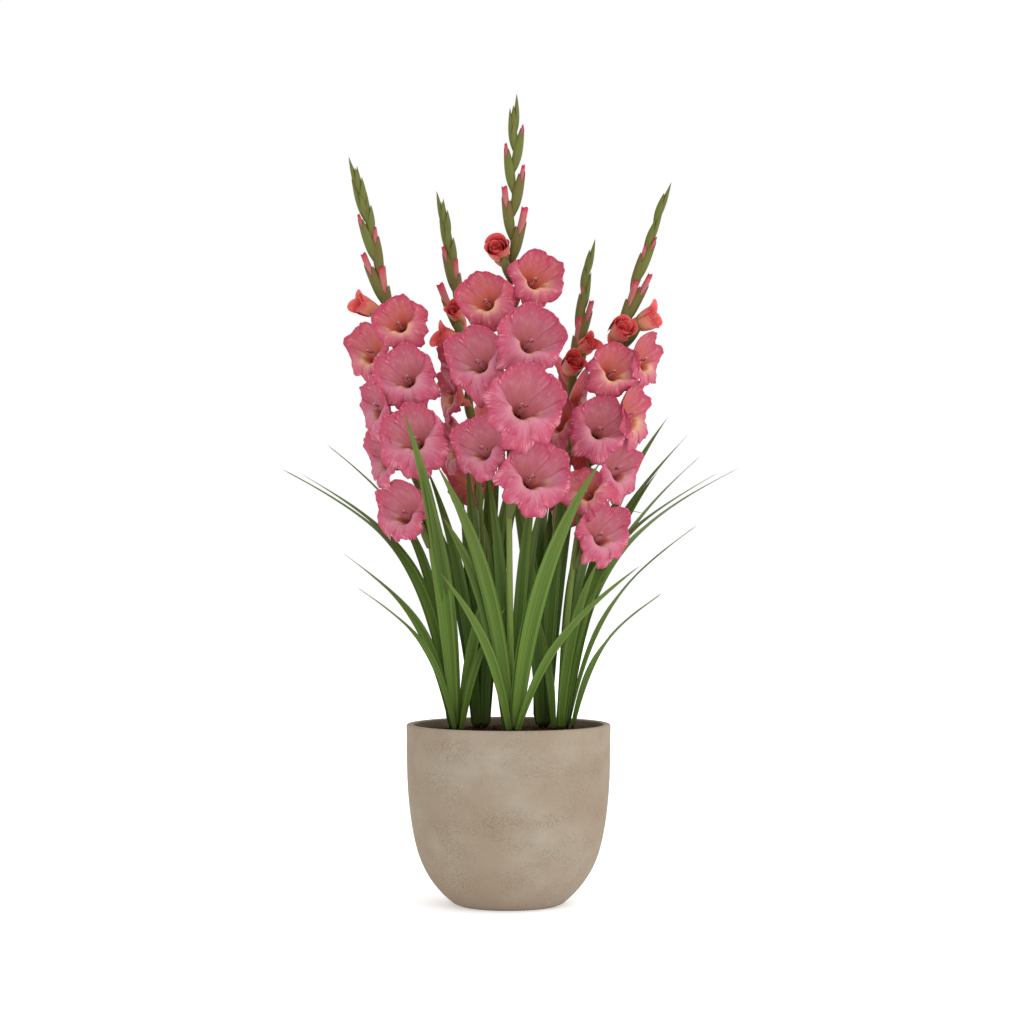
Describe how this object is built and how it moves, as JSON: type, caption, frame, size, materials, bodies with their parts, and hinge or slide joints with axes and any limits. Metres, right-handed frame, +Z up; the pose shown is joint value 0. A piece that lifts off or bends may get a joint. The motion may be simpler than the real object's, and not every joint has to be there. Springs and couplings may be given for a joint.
{
  "type": "potted gladiolus",
  "caption": "Flowering gladiolus in a rounded stoneware pot: tall spikes of ruffled pink florets with green bud tips above a clump of sword leaves.",
  "frame": {"origin": "centre of the pot's flat underside", "axes": "+Z up along the flower spikes, and the front, which most florets face, is towards -Y"},
  "size_m": [0.6788, 0.4361, 1.177],
  "materials": {
    "pot": "matt, fine-grained beige stoneware",
    "soil": "dark crumbly compost",
    "stem": "smooth satin yellow-green",
    "bud": "satin olive green, pink at the tips",
    "floret": "soft pink petals, deeper at the ruffled edges",
    "leaf": "satin mid green with fine lengthwise veins"
  },
  "bodies": {
    "root": {"centre_buds": "bud", "centre_florets": "floret", "centre_stem": "stem", "leaf_centre_back_1": "leaf", "leaf_centre_back_2": "leaf", "leaf_centre_left": "leaf", "leaf_centre_low_left": "leaf", "leaf_centre_low_right": "leaf", "leaf_centre_right": "leaf", "leaf_far_right_1": "leaf", "leaf_far_right_2": "leaf", "leaf_far_right_3": "leaf", "leaf_far_right_4": "leaf", "leaf_far_right_back": "leaf", "leaf_far_right_side": "leaf", "leaf_left_arch_1": "leaf", "leaf_left_arch_2": "leaf", "leaf_left_arch_3": "leaf", "leaf_left_arch_4": "leaf", "leaf_left_arch_5": "leaf", "leaf_left_back": "leaf", "leaf_left_centre_1": "leaf", "leaf_left_centre_2": "leaf", "leaf_left_centre_3": "leaf", "leaf_left_centre_back": "leaf", "leaf_left_cross": "leaf", "leaf_left_cross_low": "leaf", "leaf_left_front": "leaf", "leaf_left_inner": "leaf", "leaf_right_arch_1": "leaf", "leaf_right_arch_2": "leaf", "leaf_right_arch_3": "leaf", "leaf_right_centre_1": "leaf", "leaf_right_centre_2": "leaf", "leaf_right_centre_3": "leaf", "leaf_right_centre_back": "leaf", "leaf_right_cross": "leaf", "leaf_right_inner": "leaf", "left_buds": "bud", "left_centre_buds": "bud", "left_centre_florets": "floret", "left_centre_stem": "stem", "left_florets": "floret", "left_stem": "stem", "pot": "pot", "right_buds": "bud", "right_centre_buds": "bud", "right_centre_florets": "floret", "right_centre_stem": "stem", "right_florets": "floret", "right_stem": "stem", "soil": "soil"}
  },
  "joints": []
}
